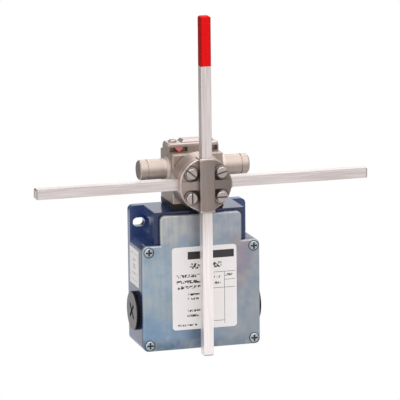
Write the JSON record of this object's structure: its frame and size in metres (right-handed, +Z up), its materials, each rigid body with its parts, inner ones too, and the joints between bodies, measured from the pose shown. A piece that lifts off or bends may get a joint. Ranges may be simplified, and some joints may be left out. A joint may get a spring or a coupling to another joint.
{
  "type": "position switch",
  "caption": "Crossed-rod position switch in a cast body, with a lever that turns right round and stays put every quarter turn.",
  "frame": {"origin": "on the back face, midway between the two fixing slots", "axes": "+X to the right seen from the front, +Y to the back, out of the face that rests on the wall, +Z up along the body"},
  "size_m": [0.2, 0.0483, 0.2],
  "materials": {
    "casting_paint": "glossy navy paint",
    "cover_plating": "blue-passivated zinc plate",
    "head_metal": "satin die-cast zinc",
    "clamp_metal": "brushed die-cast zinc",
    "rod_steel": "bright drawn steel",
    "screw_zinc": "bright zinc plate",
    "shaft_steel": "ground steel",
    "spring_steel": "spring wire",
    "contact_brass": "bare",
    "bearing_bronze": "bare",
    "cam_plastic": "moulded",
    "block_plastic": "moulded",
    "black_plastic": "moulded",
    "plug_plastic": "moulded",
    "seal_rubber": "moulded",
    "label_film": "printed film",
    "red_plastic": "moulded"
  },
  "bodies": {
    "switch_body": {"barrel_cap_left": "head_metal", "barrel_cap_right": "head_metal", "block_screws": "screw_zinc", "body_casting": "casting_paint", "cable_plug_left": "plug_plastic", "cable_plug_right": "plug_plastic", "cap_screws": "screw_zinc", "contact_block": "block_plastic", "contact_spring_left": "spring_steel", "contact_spring_right": "spring_steel", "cover_gasket": "seal_rubber", "cover_screws": "screw_zinc", "detent_spring_left": "spring_steel", "detent_spring_right": "spring_steel", "direction_pointer": "red_plastic", "earth_clamp": "screw_zinc", "earth_screw": "screw_zinc", "fixed_contacts": "contact_brass", "front_bush": "bearing_bronze", "front_cover": "cover_plating", "head_base": "black_plastic", "head_cap": "head_metal", "head_gasket": "seal_rubber", "head_housing": "head_metal", "head_screws": "screw_zinc", "name_plate": "label_film", "plug_seal_left": "seal_rubber", "plug_seal_right": "seal_rubber", "rear_bush": "bearing_bronze", "shaft_seal": "seal_rubber", "side_label": "label_film"},
    "lever": {"shaft": "shaft_steel", "thrust_washer": "shaft_steel", "detent_cam": "shaft_steel", "operating_cam_rear": "cam_plastic", "operating_cam_front": "cam_plastic", "lever_hub": "head_metal", "hub_screw": "screw_zinc", "clamp_plate": "clamp_metal", "clamp_washers": "screw_zinc", "clamp_screws": "screw_zinc", "level_rod": "rod_steel", "upright_rod": "rod_steel", "red_sleeve": "red_plastic"},
    "detent_left": {"detent_shoe_left": "shaft_steel"},
    "contact_left": {"push_rod_left": "shaft_steel", "contact_carrier_left": "cam_plastic", "contact_bridge_left": "contact_brass"},
    "detent_right": {"detent_shoe_right": "shaft_steel"},
    "contact_right": {"push_rod_right": "shaft_steel", "contact_carrier_right": "cam_plastic", "contact_bridge_right": "contact_brass"}
  },
  "joints": [
    {"name": "lever_turn", "type": "hinge", "parent": "switch_body", "child": "lever", "pos_m": [0, 0, 0.0276], "axis": [0, 1, 0], "continuous": true},
    {"name": "detent_slide_left", "type": "slide", "parent": "switch_body", "child": "detent_left", "axis": [1, 0, 0], "range_m": [0, 0.0018], "stiffness_N_per_m": 3000, "springref_m": 0.006, "deforming": ["detent_spring_left"]},
    {"name": "contact_slide_left", "type": "slide", "parent": "switch_body", "child": "contact_left", "axis": [0, 0, -1], "range_m": [0, 0.0022], "stiffness_N_per_m": 800, "springref_m": -0.004, "deforming": ["contact_spring_left"]},
    {"name": "detent_slide_right", "type": "slide", "parent": "switch_body", "child": "detent_right", "axis": [-1, 0, 0], "range_m": [0, 0.0018], "stiffness_N_per_m": 3000, "springref_m": 0.006, "deforming": ["detent_spring_right"]},
    {"name": "contact_slide_right", "type": "slide", "parent": "switch_body", "child": "contact_right", "axis": [0, 0, -1], "range_m": [0, 0.0022], "stiffness_N_per_m": 800, "springref_m": -0.004, "deforming": ["contact_spring_right"]}
  ]
}
